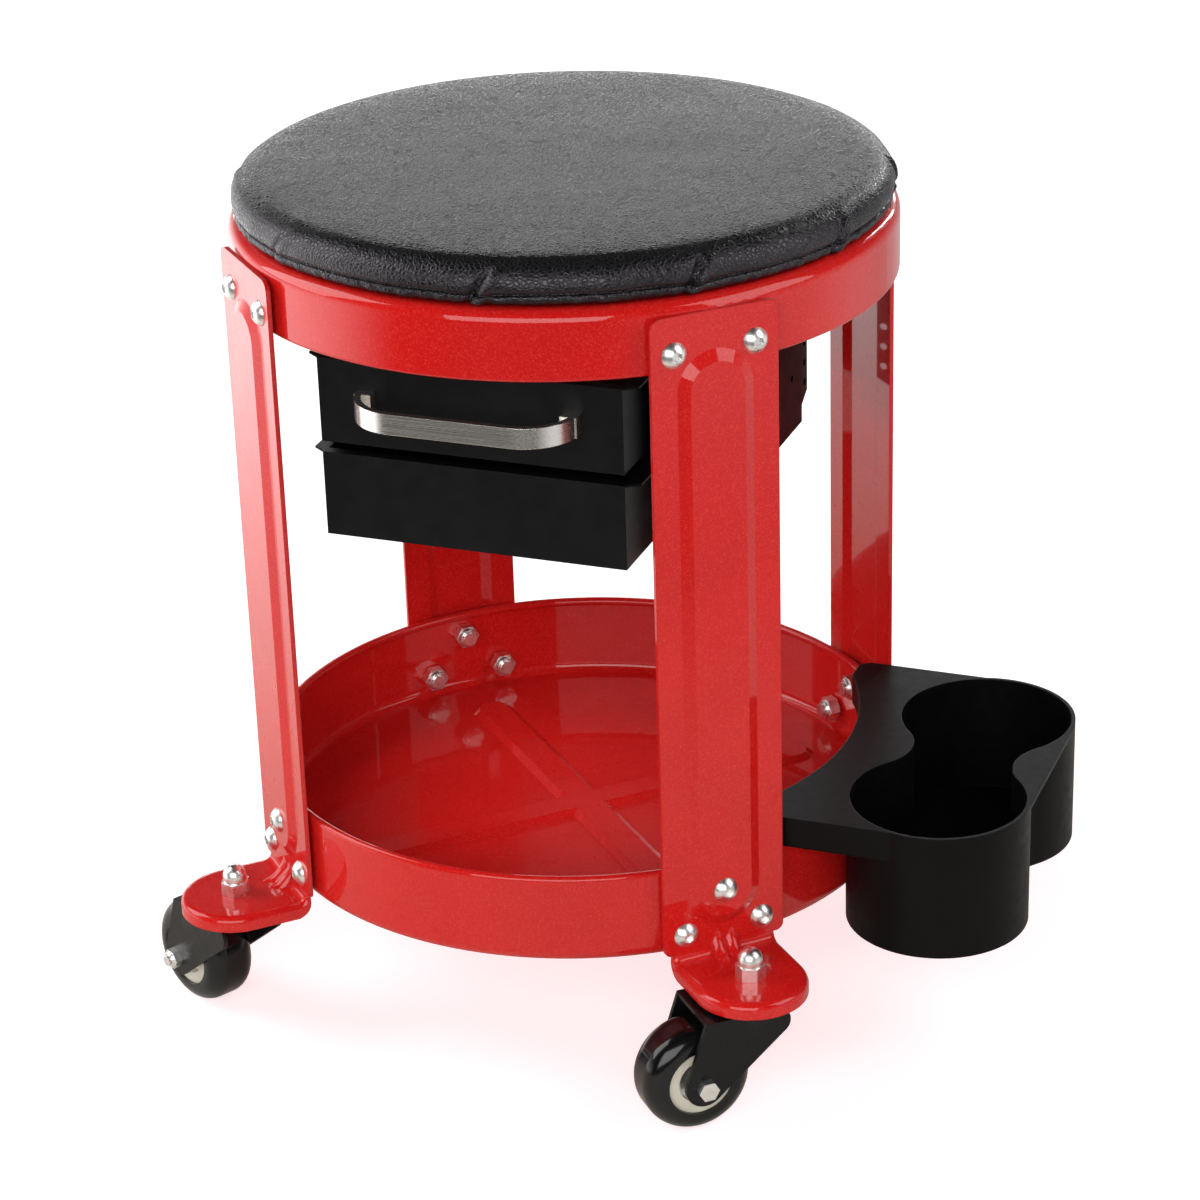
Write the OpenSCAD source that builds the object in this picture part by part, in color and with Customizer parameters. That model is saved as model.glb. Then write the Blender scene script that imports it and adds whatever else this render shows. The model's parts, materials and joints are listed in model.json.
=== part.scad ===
// Creeper stool: padded seat on an inverted pan, tray pan below, four pressed legs
// on swivel casters, two drawers hung under the seat and a cup holder on the tray rim.
// Z is up from the floor, the drawers open towards -Y, the cup holder hangs at +X.

/* [Pans] */
// Outside diameter of the seat pan and the tray
pan_d = 356; // [340:1:370]
// Sheet thickness of the pans
pan_t = 1.5; // [1:0.1:2]
// Outside radius between floor and wall of a pan
pan_corner = 7; // [4:0.5:9]
// Thickness of the tray's rolled rim
bead_d = 5; // [4:0.5:6]
// Thickness of the hem round the seat pan skirt
hem_d = 4; // [3:0.5:4.5]
// Height of the tray wall
tray_h = 51; // [48:1:60]
// Height of the seat pan skirt
skirt_h = 37; // [34:1:44]
// From the tray underside up to the seat pan top
frame_h = 364; // [340:1:400]
// Gap between the foot plates and the tray underside
tray_lift = 2; // [1:0.5:4]

/* [Tray ribs] */
// Length of each raised rib
rib_len = 292; // [240:2:300]
// Width of a rib at its foot
rib_w = 24; // [16:1:30]
// Height of a rib
rib_h = 3; // [2:0.5:4]
// Run of the rib's sloping side
rib_slope = 4; // [2:0.5:5]

/* [Legs] */
// Width of a leg
leg_w = 70; // [64:1:74]
// Sheet thickness of a leg
leg_t = 2.5; // [2:0.1:3]
// Drop of the leg top below the seat pan top
leg_drop = 6; // [4:1:10]
// Radius of the leg's top corners
leg_corner = 6; // [3:1:12]
// Width of the raised channel
channel_w = 42; // [34:1:44]
// Height of the raised channel
channel_h = 3; // [2:0.5:4]
// Run of the channel's sloping side
channel_slope = 6; // [3:0.5:8]
// Half distance between the paired screws
bolt_spread = 22.3; // [20:0.1:24]
// Height of the lower screws above the tray underside
low_bolt_up = 13; // [11:0.5:15]
// Height of the middle screw above the tray underside
mid_bolt_up = 36; // [33:0.5:38]
// Height of the upper screws above the skirt edge
top_bolt_up = 11; // [11:0.5:14]
// Width of the foot
foot_w = 61; // [56:1:64]
// Depth of the foot's turned-down rim
foot_rim = 8.5; // [6:0.5:9]
// Outside radius of the foot's edge
foot_edge_r = 4; // [3:0.5:5]
// Inside radius of the bend between leg and foot
bend_r = 4; // [3:0.5:6]
// Reach of the two pressed gussets in the bend
gusset_reach = 16; // [12:0.5:18]
// Width of a gusset
gusset_w = 9; // [7:0.5:11]
// From the pan wall out to the caster stem
caster_out = 33; // [32:0.5:38]

/* [Screws] */
// Thread diameter of the leg screws
bolt_d = 8; // [6:0.5:8]
// Head diameter of the leg screws
bolt_head_d = 14; // [12:0.5:15]
// Head height of the leg screws
bolt_head_h = 4.4; // [3.5:0.1:5]
// Width of the hexagon socket
bolt_socket = 5; // [4:0.5:6]
// Width across the flats of the lock nuts
nut_flats = 13; // [12:0.5:13]
// Height of a lock nut
nut_h = 8; // [6:0.5:9]
// Extra diameter of every screw hole
hole_play = 0.4; // [0.2:0.1:0.6]

/* [Casters] */
// Wheel diameter
wheel_d = 60; // [56:1:62]
// Wheel width
wheel_w = 29; // [26:1:31]
// Radius of the tyre's shoulders
tyre_shoulder = 10; // [7:0.5:10.5]
// Outside diameter of the hub
hub_d = 37; // [34:1:38]
// Outside diameter of a wheel bearing
bearing_d = 24; // [22:0.5:26]
// Width of a wheel bearing
bearing_w = 7; // [5:0.5:8]
// Diameter of the sleeve on the axle bolt
sleeve_d = 8; // [7.5:0.5:10]
// Diameter of the axle bolt
axle_d = 6; // [5:0.5:6.5]
// Width across the flats of the axle bolt head and nut
axle_flats = 10; // [9:0.5:11]
// Horizontal offset of the axle from the stem
trail = 35; // [32:1:37]
// Height of the fork's top face above the axle
fork_rise = 37.5; // [36:0.5:42]
// Sheet thickness of the fork
fork_t = 2.5; // [2:0.1:3]
// Side clearance between the wheel and the fork
fork_gap = 2.5; // [1:0.5:3]
// Radius of the fork's ears round the axle
ear_r = 11; // [9:0.5:12]
// Height of the swivel race between fork and foot
race_h = 8; // [7.5:0.5:9]
// Diameter of the race cap
race_d = 42; // [36:1:44]
// Thread diameter of the caster stem
stem_d = 8; // [7:0.5:9]
// Diameter of the pivot below the collar
pivot_d = 8; // [7:0.5:9]
// Width across the flats of the cap nuts
cap_flats = 14; // [13:0.5:15]
// Height of the cap nuts
cap_h = 17; // [15:0.5:18]
// Direction each caster trails at rest, front right, front left, rear left, rear right
caster_yaw = [-137, 151, 20, 75];
// Side of each caster that shows the bolt head
head_side = [1, -1, 1, -1];

/* [Seat] */
// Diameter of the cushion at its fullest
cushion_d = 352; // [336:1:354]
// Height of the cushion at its middle
cushion_h = 24; // [20:0.5:30]
// Fall of the crown from the middle to the shoulder
crown = 1.6; // [0.5:0.1:3]
// Diameter of the flat middle of the seat
seat_flat_d = 180; // [120:5:220]
// Height of the band below the seam
band_h = 6.5; // [5:0.5:8]
// Diameter of the seat board
board_d = 320; // [300:1:326]
// Thickness of the seat board
board_t = 9; // [8:0.5:12]

/* [Drawers] */
// Outside width of a drawer
drawer_w = 166; // [150:1:168]
// Outside height of a drawer
drawer_h = 46; // [40:1:48]
// Sheet thickness of a drawer
drawer_t = 1; // [0.8:0.1:1.5]
// Distance of the drawer fronts from the stool's axis
drawer_front = 140; // [130:1:144]
// Distance of the drawer backs from the stool's axis
drawer_back = 122; // [100:1:124]
// Width of a drawer's side lip
lip_w = 7; // [6:0.5:8]
// Drop of the upper drawer's top edge below the skirt edge
upper_drop = 11; // [10:1:16]
// From the upper drawer's top edge to the lower one's
drawer_pitch = 52; // [50:1:58]
// Length of the drawer handle
handle_len = 121; // [110:1:130]
// Height of the handle strip
handle_h = 11; // [8:0.5:14]
// How far the handle stands out
handle_out = 28; // [22:1:32]
// Thickness of the handle strip
handle_t = 3.5; // [3:0.5:5]
// Drop of the handle's middle below the upper drawer's top edge
handle_drop = 21; // [18:1:32]

/* [Drawer carriers] */
// Sheet thickness of a carrier
carrier_t = 1.5; // [1.2:0.1:2]
// Distance of the carrier's front edge from the stool's axis
carrier_front = 104; // [90:1:108]
// Distance of the carrier's rear edge from the stool's axis
carrier_back = 126; // [125:1:132]
// How far the carrier's upper rear part reaches beyond its lower edge
carrier_step = 10; // [6:1:12]
// Depth of the carrier below the lower drawer
carrier_below = 15; // [10:1:20]
// Width of the carrier's top flange
flange_w = 22; // [18:1:28]
// Sheet thickness of a runner
runner_t = 1.2; // [1:0.1:1.5]
// Height inside a runner
runner_gap = 8; // [7.5:0.5:10]
// Diameter of a runner rivet
rivet_d = 3.2; // [3:0.1:4]
// Diameter of the seat screws
seat_screw_d = 5; // [4:0.5:6]

/* [Cup holder] */
// Inside diameter of a cup
cup_d = 94; // [88:1:95]
// Half distance between the cup centres
cup_half_pitch = 50; // [49:0.5:52]
// Wall of the moulding
cup_wall = 2.2; // [1.8:0.1:2.6]
// Gap between the cups and the tray wall
cup_clear = 0.8; // [0.4:0.1:2]
// Depth of the cups below the plate
cup_depth = 71; // [55:1:73]
// Radius of the rounded noses between the cups
nose_r = 30; // [24:1:40]
// Thickness of the plate
plate_t = 3; // [2.5:0.1:4]
// Height of the plate top above the tray rim
plate_up = 15; // [12:1:20]
// Depth of the skirt round the plate
plate_skirt = 17; // [13:1:18]
// Radius of the plate's inner arc
plate_inner_r = 157; // [150:1:162]
// Distance of the plate's inner corners from the stool's axis
plate_inner_x = 136; // [130:1:140]
// Half width of the plate
plate_half_w = 97.5; // [96:0.5:98]
// Depth of the hook below the tray rim
hook_depth = 10; // [8:1:14]
// Clearance of the hook beside the rim
hook_play = 0.5; // [0.4:0.1:1]

/* [Hidden] */
$fn = 96;
CORNERS = ["front_right", "front_left", "rear_left", "rear_right"];
SIDES = ["right", "left"];

red = [0.78, 0.04, 0.04];
satin_black = [0.06, 0.06, 0.065];
zinc = [0.78, 0.79, 0.8];
nickel = [0.83, 0.81, 0.78];
plywood = [0.76, 0.6, 0.4];

// overlap that fuses parts of one piece, and the reach of a cut beyond a face
fuse = 0.05;
over = 1;
// seat of a soft or moving piece on its carrier, and running play of a shaft
seat_gap = 0.3;
run_play = 0.05;

pan_r = pan_d / 2;
leg_angles = [-45, -135, 135, 45];

// heights above the floor
axle_z = wheel_d / 2;
fork_top_z = axle_z + fork_rise;
foot_under_z = fork_top_z + race_h;
foot_top_z = foot_under_z + leg_t;
tray_z = foot_top_z + tray_lift;
rim_z = tray_z + tray_h;
seat_z = tray_z + frame_h;
skirt_z = seat_z - skirt_h;
leg_top_z = seat_z - leg_drop;
low_bolt_z = tray_z + low_bolt_up;
mid_bolt_z = tray_z + mid_bolt_up;
top_bolt_z = skirt_z + top_bolt_up;
stem_r_pos = pan_r + caster_out;

// the foot's rim stays clear of the turning fork
rim_depth = min(foot_rim, leg_t + race_h - over);
bend_top_z = foot_top_z + bend_r;
gusset_sink = 0.3;

// leg screws: seats on the leg and nut faces inside the curved wall
flat_seat = pan_r + leg_t;
channel_seat = flat_seat + channel_h;
function wall_inside(t) = sqrt(pow(pan_r - pan_t, 2) - pow(t, 2));
nut_half = nut_flats / 2 / cos(30);
side_nut_x = wall_inside(bolt_spread + nut_half) - 0.1;
mid_nut_x = wall_inside(nut_half) - 0.1;
upper_spots = [[bolt_spread, top_bolt_z], [-bolt_spread, top_bolt_z]];
side_spots = [[bolt_spread, low_bolt_z], [-bolt_spread, low_bolt_z]];
mid_spots = [[0, mid_bolt_z]];

// drawers and carriers
upper_top_z = skirt_z - upper_drop;
lower_top_z = upper_top_z - drawer_pitch;
lip_x = drawer_w / 2 + lip_w;
rivet_head_h = 1;
runner_in_x = lip_x + rivet_head_h + 1.2;
carrier_in_x = runner_in_x + runner_t;
ledge_in_x = drawer_w / 2 + 1.5;
carrier_top_z = seat_z - pan_t;
carrier_low_z = lower_top_z - drawer_h - carrier_below;
flange_mid_x = carrier_in_x + carrier_t - flange_w / 2;
seat_screw_spots = [for (s = [1, -1], y = [-0.6 * carrier_front, 0.6 * carrier_back]) [s * flange_mid_x, y]];
runner_front = carrier_front;
runner_back = carrier_back - 1;
rivet_ys = [for (f = [0.1, 0.5, 0.9]) -runner_front + f * (runner_front + runner_back)];

// cup holder
cup_r = cup_d / 2;
cup_out_r = cup_r + cup_wall;
cup_x = sqrt(pow(pan_r + cup_clear + cup_out_r, 2) - pow(cup_half_pitch, 2));
plate_z = rim_z + plate_up;
cup_floor_z = plate_z - cup_depth;
nose_x = sqrt(pow(cup_r + nose_r, 2) - pow(cup_half_pitch, 2));

// the footprint's box, so that the origin lies under its middle
function trail_dir(i) = [cos(caster_yaw[i]), sin(caster_yaw[i])];
function stem_at(i) = stem_r_pos * [cos(leg_angles[i]), sin(leg_angles[i])];
function wheel_reach(i, e) = let (
        p = abs(trail_dir(i) * e),
        q = sqrt(1 - p * p)
    ) stem_at(i) * e + trail * (trail_dir(i) * e)
    + (wheel_d / 2 - shoulder) * p + (wheel_w / 2 - shoulder) * q + shoulder;
function axle_reach(i, e) = let (n = [-trail_dir(i)[1], trail_dir(i)[0]])
    stem_at(i) * e + trail * (trail_dir(i) * e)
    + max((n * e) * axle_end(i, 1), -(n * e) * axle_end(i, -1))
    + axle_flats / 2 / cos(30) * sqrt(1 - pow(n * e, 2));
function foot_reach(i, e) = stem_at(i) * e + foot_w / 2;
fork_in = wheel_w / 2 + fork_gap;
shoulder = min(tyre_shoulder, (wheel_d - hub_d) / 2 - 1);
fork_out = fork_in + fork_t;
axle_head_h = 5;
axle_nut_h = 6;
axle_tail = 1.5;
function axle_end(i, side) = fork_out + (head_side[i] == side ? axle_head_h : axle_nut_h + axle_tail);
function reach(e) = max([for (i = [0:3]) max(wheel_reach(i, e), foot_reach(i, e), axle_reach(i, e))]);
box_min = -[reach([-1, 0]), reach([0, -1])];
box_max = [max(reach([1, 0]), cup_x + cup_out_r), reach([0, 1])];
shift = -(box_min + box_max) / 2;

// shared shapes

module placed() {
    translate([shift[0], shift[1], 0]) children();
}

// places a piece in a leg's frame: x outwards, y along the wall
module at_leg(i) {
    placed() rotate([0, 0, leg_angles[i]]) children();
}

module each_leg() {
    for (i = [0:3]) at_leg(i) children();
}

// places a piece at a caster: x along the trail, y along the axle
module at_caster(i) {
    placed() translate([stem_at(i)[0], stem_at(i)[1], 0]) rotate([0, 0, caster_yaw[i]]) children();
}

// turns a piece drawn along z so that it points outwards along x
module outward() {
    rotate([0, 90, 0]) children();
}

// turns a profile drawn in x, y so that it lies in y, z and is extruded along x
module along_x(length) {
    rotate([90, 0, 90]) linear_extrude(length) children();
}

// turns a profile drawn in x, y so that it lies in x, z and is extruded along y
module along_y(length) {
    translate([0, length, 0]) rotate([90, 0, 0]) linear_extrude(length) children();
}

module tube(r_out, r_in, h) {
    difference() {
        cylinder(r = r_out, h = h);
        translate([0, 0, -over]) cylinder(r = r_in, h = h + 2 * over);
    }
}

module hexagon(flats, h) {
    cylinder(d = flats / cos(30), h = h, $fn = 6);
}

// quarter of a bent sheet: outer radius r, thickness t, in the first quadrant
module bend_quarter(r, t) {
    difference() {
        intersection() {
            circle(r);
            square(r);
        }
        circle(r - t);
    }
}

// long boss with sloping sides and round ends, along x, rising from z = 0
module stadium_boss(length, w, h, slope) {
    run = length / 2 - w / 2;
    for (s = [-1, 1]) translate([s * run, 0, 0]) cylinder(r1 = w / 2, r2 = w / 2 - slope, h = h);
    translate([-run, 0, 0]) along_x(2 * run)
        polygon([[-w / 2, 0], [w / 2, 0], [w / 2 - slope, h], [-(w / 2 - slope), h]]);
}

// width lost on each side by the hollow under a boss pressed from sheet t
function hollow_inset(t, h, slope) = t * (sqrt(h * h + slope * slope) - slope) / h;

// points where a line touches two circles on the side that turns away from their joining line
function tangent_points(c1, r1, c2, r2, side) = let (
        d = c2 - c1,
        n = atan2(d[1], d[0]) + side * acos((r1 - r2) / norm(d))
    ) [c1 + r1 * [cos(n), sin(n)], c2 + r2 * [cos(n), sin(n)]];

function arc(c, r, from, to, steps) = [
    for (k = [0:steps]) let (a = from + (to - from) * k / steps) c + r * [cos(a), sin(a)]
];

// pans

module pan_section(h, edge_d) {
    square([pan_r - pan_corner + fuse, pan_t]);
    translate([pan_r - pan_corner, pan_corner]) mirror([0, 1]) bend_quarter(pan_corner, pan_t);
    translate([pan_r - pan_t, pan_corner - fuse]) square([pan_t, h - pan_corner - edge_d / 2 + fuse]);
    translate([pan_r - edge_d / 2, h - edge_d / 2]) circle(edge_d / 2);
}

module leg_screw_holes(spots) {
    for (i = [0:3]) rotate([0, 0, leg_angles[i]])
        for (s = spots) translate([pan_r - 30, s[0], s[1]]) outward()
            cylinder(d = bolt_d + hole_play, h = 60);
}

module tray_pan() {
    rib_bottom_w = rib_w - 2 * hollow_inset(pan_t, rib_h, rib_slope);
    color(red) placed() difference() {
        union() {
            translate([0, 0, tray_z]) rotate_extrude() pan_section(tray_h, bead_d);
            for (a = [45, -45]) translate([0, 0, tray_z + pan_t]) rotate([0, 0, a])
                stadium_boss(rib_len, rib_w, rib_h, rib_slope);
        }
        for (a = [45, -45]) translate([0, 0, tray_z]) rotate([0, 0, a]) {
            stadium_boss(rib_len - rib_w + rib_bottom_w, rib_bottom_w, rib_h, rib_slope);
            translate([0, 0, -over]) linear_extrude(over + fuse) rib_mouth(rib_bottom_w);
        }
        leg_screw_holes(concat(side_spots, mid_spots));
    }
}

// outline of the hollow under a tray rib
module rib_mouth(w) {
    run = (rib_len - rib_w) / 2;
    square([2 * run, w - 0.2], center = true);
}

module seat_pan() {
    color(red) placed() difference() {
        translate([0, 0, seat_z]) mirror([0, 0, 1]) rotate_extrude() pan_section(skirt_h, hem_d);
        leg_screw_holes(upper_spots);
        for (s = seat_screw_spots) translate([s[0], s[1], seat_z - pan_t - over])
            cylinder(d = seat_screw_d + hole_play, h = pan_t + 2 * over);
    }
}

// seat

module seat_cushion() {
    r = cushion_d / 2;
    pocket_r = board_d / 2 + seat_gap;
    pocket_z = board_t + seat_gap;
    side_r = 0.44 * cushion_h;
    side_c = [r - side_r, cushion_h - crown - side_r - 0.4];
    band_r = band_h;
    crown_r = side_c[0] - side_r * 0.2;
    flat_r = seat_flat_d / 2;
    top = [
        for (k = [0:8]) let (f = k / 8, q = crown_r + (flat_r - crown_r) * f)
            [q, cushion_h - crown * pow(1 - f, 2)]
    ];
    profile = concat(
        [[0, pocket_z], [pocket_r, pocket_z], [pocket_r, seat_gap]],
        arc([side_c[0], band_r + seat_gap], band_r, -90, -12, 6),
        [[side_c[0] + band_r - 1, band_r + seat_gap]],
        arc(side_c, side_r, -38, 78, 12),
        top,
        [[0, cushion_h]]
    );
    color(satin_black) placed() translate([0, 0, seat_z]) rotate_extrude() polygon(profile);
}

module seat_board() {
    color(plywood) placed() difference() {
        translate([0, 0, seat_z]) cylinder(d = board_d, h = board_t);
        for (s = seat_screw_spots) translate([s[0], s[1], seat_z - over])
            cylinder(d = seat_screw_d + 2 * run_play, h = board_t - 1.5 + over);
    }
}

module seat_screws() {
    reach_up = carrier_t + pan_t + board_t - 2;
    color(zinc) placed() for (s = seat_screw_spots)
        translate([s[0], s[1], carrier_top_z - carrier_t]) {
            cylinder(d = seat_screw_d, h = reach_up);
            mirror([0, 0, 1]) difference() {
                cylinder(d1 = 2.2 * seat_screw_d, d2 = 1.6 * seat_screw_d, h = 3);
                translate([0, 0, 1.2]) hexagon(3, 3);
            }
        }
}

// legs

module leg_face() {
    top_w = leg_w - 2 * leg_corner;
    step = (leg_w - foot_w) / 2;
    translate([-leg_w / 2, bend_top_z + step]) square([leg_w, leg_top_z - leg_corner - bend_top_z - step]);
    translate([-top_w / 2, bend_top_z + step]) square([top_w, leg_top_z - bend_top_z - step]);
    translate([-foot_w / 2, bend_top_z]) square([foot_w, 2 * step]);
    for (s = [-1, 1]) {
        translate([s * top_w / 2, leg_top_z - leg_corner]) circle(leg_corner);
        translate([s * foot_w / 2, bend_top_z + step]) circle(step);
    }
}

// half of the foot's cross section below its top, drawn in by d
module foot_section(d, depth) {
    half = foot_w / 2 - d;
    r = foot_edge_r - d;
    translate([half - r, -r]) circle(r);
    translate([0, -depth]) square([half - r + fuse, depth]);
    translate([0, -depth]) square([half, depth - r]);
}

// the foot's rounded block, drawn in by d
module foot_block(d, depth) {
    run = stem_r_pos - flat_seat - bend_r;
    translate([stem_r_pos, 0, foot_top_z - d]) rotate_extrude() foot_section(d, depth);
    translate([stem_r_pos - run, 0, foot_top_z - d]) along_x(run) {
        foot_section(d, depth);
        mirror([1, 0]) foot_section(d, depth);
    }
}

module foot() {
    difference() {
        foot_block(0, rim_depth);
        foot_block(leg_t, rim_depth + over);
    }
}

// the foot's section, turned about an axis over the bend's and drawn in by d
module bend_block(d, depth, lift) {
    translate([flat_seat + bend_r, 0, bend_top_z + lift]) rotate([90, 0, 0]) rotate_extrude()
        translate([bend_r + d + lift, 0]) rotate(90) {
            foot_section(d, depth);
            mirror([1, 0]) foot_section(d, depth);
        }
}

// the bend between leg and foot, with the lower corners of its rim rounded
module bend() {
    rim_low_z = foot_top_z - rim_depth;
    difference() {
        intersection() {
            difference() {
                bend_block(0, rim_depth, 0);
                bend_block(leg_t, rim_depth + over, leg_t / 5);
            }
            translate([pan_r, -leg_w / 2, rim_low_z]) cube([leg_t + bend_r, leg_w, rim_depth + bend_r]);
        }
        translate([0, -leg_w, 0]) along_y(2 * leg_w) difference() {
            translate([pan_r - over, rim_low_z - over]) square(rim_depth + over);
            translate([pan_r + rim_depth, rim_low_z + rim_depth]) circle(rim_depth);
        }
    }
}

// two ribs pressed across the bend, whose crests run out level with the leg and the foot
module gussets() {
    crest = gusset_reach;
    intersection() {
        translate([flat_seat - fuse, -gusset_w, foot_top_z - fuse]) cube([crest, 2 * gusset_w, crest]);
        for (s = [-1, 1]) translate([flat_seat + crest, 0.45 * s * gusset_w, foot_top_z + crest])
            rotate([90, 0, 0]) rotate_extrude() translate([crest + gusset_w / 2 + gusset_sink, 0]) circle(gusset_w / 2);
    }
}

module leg(i) {
    channel_top = top_bolt_z;
    channel_low = mid_bolt_z - channel_w / 2;
    channel_mid = (channel_top + channel_low) / 2;
    inset = hollow_inset(leg_t, channel_h, channel_slope);
    hollow_w = channel_w - 2 * inset;
    hollow_len = channel_top - channel_low - 2 * inset;
    color(red) at_leg(i) difference() {
        union() {
            translate([pan_r, 0, 0]) along_x(leg_t) leg_face();
            translate([flat_seat - fuse, 0, channel_mid]) outward()
                stadium_boss(channel_top - channel_low, channel_w, channel_h + fuse, channel_slope);
            foot();
            bend();
            gussets();
        }
        translate([pan_r - fuse, 0, channel_mid]) outward()
            stadium_boss(hollow_len, hollow_w, channel_h + fuse, channel_slope);
        for (s = concat(upper_spots, side_spots, mid_spots))
            translate([pan_r - 5, s[0], s[1]]) outward() cylinder(d = bolt_d + hole_play, h = 20);
        translate([stem_r_pos, 0, foot_under_z - 5]) cylinder(d = stem_d + hole_play, h = 15);
    }
}

// button-head screw along z with its seat at z = 0 and a hexagon socket
module button_screw(length) {
    ball_r = (pow(bolt_head_d / 2, 2) + pow(bolt_head_h, 2)) / (2 * bolt_head_h);
    difference() {
        intersection() {
            translate([0, 0, bolt_head_h - ball_r]) sphere(ball_r);
            cylinder(d = bolt_head_d + over, h = bolt_head_h + over);
        }
        translate([0, 0, bolt_head_h - 2.6]) hexagon(bolt_socket, 5);
    }
    translate([0, 0, -length]) cylinder(d = bolt_d, h = length + fuse);
}

// lock nut along -z from its seat at z = 0, with the collar of its insert
module lock_nut(flats, d, h) {
    collar = 0.2 * h;
    difference() {
        translate([0, 0, -h]) {
            translate([0, 0, collar]) hexagon(flats, h - collar);
            cylinder(d1 = 0.78 * flats, d2 = 0.95 * flats, h = collar + fuse);
        }
        translate([0, 0, -h - over]) cylinder(d = d + 2 * run_play, h = h + 2 * over);
    }
}

module leg_bolts(spots, seat, nut_x) {
    for (s = spots) translate([seat, s[0], s[1]]) outward() button_screw(seat - nut_x + nut_h + 2);
}

module leg_nuts(spots, nut_x) {
    for (s = spots) translate([nut_x, s[0], s[1]]) outward() rotate([0, 0, 30])
        lock_nut(nut_flats, bolt_d, nut_h);
}

module leg_bolts_upper() {
    color(zinc) each_leg() leg_bolts(upper_spots, flat_seat, side_nut_x);
}

module leg_nuts_upper() {
    color(zinc) each_leg() leg_nuts(upper_spots, side_nut_x);
}

module leg_bolts_lower() {
    color(zinc) each_leg() {
        leg_bolts(side_spots, flat_seat, side_nut_x);
        leg_bolts(mid_spots, channel_seat, mid_nut_x);
    }
}

module leg_nuts_lower() {
    color(zinc) each_leg() {
        leg_nuts(side_spots, side_nut_x);
        leg_nuts(mid_spots, mid_nut_x);
    }
}

// drawers, runners and carriers

// mirrors what is drawn for the right side to the left one
module on_side(k) {
    placed() mirror([k, 0, 0]) children();
}

module drawer_carrier(k) {
    depth_y = carrier_front + carrier_back;
    low = carrier_low_z;
    face = [
        [-carrier_front, carrier_top_z], [-carrier_front, low + 12], [-carrier_front + 12, low],
        [carrier_back - carrier_step, low], [carrier_back - carrier_step, low + 10],
        [carrier_back, low + 16], [carrier_back, carrier_top_z]
    ];
    rear_holes = [for (z = [22, 34, 46]) [carrier_back - 5, low + z]];
    step_hole = [[carrier_back - 28, low + 32]];
    color(satin_black) on_side(k) difference() {
        union() {
            translate([carrier_in_x, 0, 0]) along_x(carrier_t) polygon(face);
            translate([carrier_in_x + carrier_t - flange_w, -carrier_front, carrier_top_z - carrier_t])
                cube([flange_w, depth_y, carrier_t]);
        }
        for (h = concat(rear_holes, step_hole)) translate([carrier_in_x - over, h[0], h[1]]) outward()
            cylinder(d = 4.5, h = carrier_t + 2 * over);
        for (top = [upper_top_z, lower_top_z], y = rivet_ys) rivet_at(top, y)
            cylinder(d = rivet_d + 2 * run_play, h = 20, center = true);
        for (s = seat_screw_spots) translate([abs(s[0]), s[1], carrier_top_z - 5])
            cylinder(d = seat_screw_d + hole_play, h = 10);
    }
}

// places a piece drawn along z at a runner rivet, pointing outwards
module rivet_at(top, y) {
    translate([carrier_in_x, y, top - drawer_t - 0.2 + runner_gap / 2]) outward() children();
}

module runner(k, top) {
    ledge = top - drawer_t - 0.2;
    depth_y = runner_front + runner_back;
    color(satin_black) on_side(k) difference() {
        translate([ledge_in_x, -runner_front, ledge - runner_t])
            cube([carrier_in_x - ledge_in_x, depth_y, runner_gap + 2 * runner_t]);
        translate([ledge_in_x - over, -runner_front - over, ledge])
            cube([runner_in_x - ledge_in_x + over, depth_y + 2 * over, runner_gap]);
        for (y = rivet_ys) rivet_at(top, y) cylinder(d = rivet_d + 2 * run_play, h = 20, center = true);
    }
}

module runner_rivets() {
    color(zinc) for (k = [0, 1]) on_side(k) for (top = [upper_top_z, lower_top_z], y = rivet_ys)
        rivet_at(top, y) {
            translate([0, 0, -runner_t - fuse]) cylinder(d = rivet_d, h = runner_t + carrier_t + 2 * fuse);
            translate([0, 0, carrier_t]) cylinder(d1 = 1.7 * rivet_d, d2 = rivet_d, h = rivet_head_h);
            translate([0, 0, -runner_t - rivet_head_h])
                cylinder(d1 = rivet_d, d2 = 1.7 * rivet_d, h = rivet_head_h);
        }
}

handle_post = 9;
handle_foot = 6;
handle_screw_d = 4;
handle_z = upper_top_z - handle_drop;
handle_screw_x = handle_len / 2 - handle_post / 2;

module drawer(top, drill) {
    length = drawer_front + drawer_back;
    half = drawer_w / 2;
    lip = [
        [half - fuse, -drawer_front + 1], [half, -drawer_front + 1], [lip_x, -drawer_front + 6],
        [lip_x, drawer_back - 6], [half, drawer_back], [half - fuse, drawer_back]
    ];
    hem = 6;
    color(satin_black) placed() difference() {
        union() {
            difference() {
                translate([-half, -drawer_front, top - drawer_h]) cube([drawer_w, length, drawer_h]);
                translate([-half + drawer_t, -drawer_front + drawer_t, top - drawer_h + drawer_t])
                    cube([drawer_w - 2 * drawer_t, length - 2 * drawer_t, drawer_h]);
            }
            for (k = [0, 1]) mirror([k, 0, 0]) translate([0, 0, top - drawer_t])
                linear_extrude(drawer_t) polygon(lip);
            for (y = [-drawer_front, drawer_back - hem])
                translate([-half, y, top - drawer_t]) cube([drawer_w, hem, drawer_t]);
        }
        if (drill) for (s = [-1, 1])
            translate([s * handle_screw_x, -drawer_front - over, handle_z]) along_y_hole(handle_screw_d + hole_play);
    }
}

module along_y_hole(d) {
    rotate([-90, 0, 0]) cylinder(d = d, h = drawer_t + 2 * over);
}

module drawer_upper() {
    drawer(upper_top_z, true);
}

module drawer_lower() {
    drawer(lower_top_z, false);
}

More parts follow.
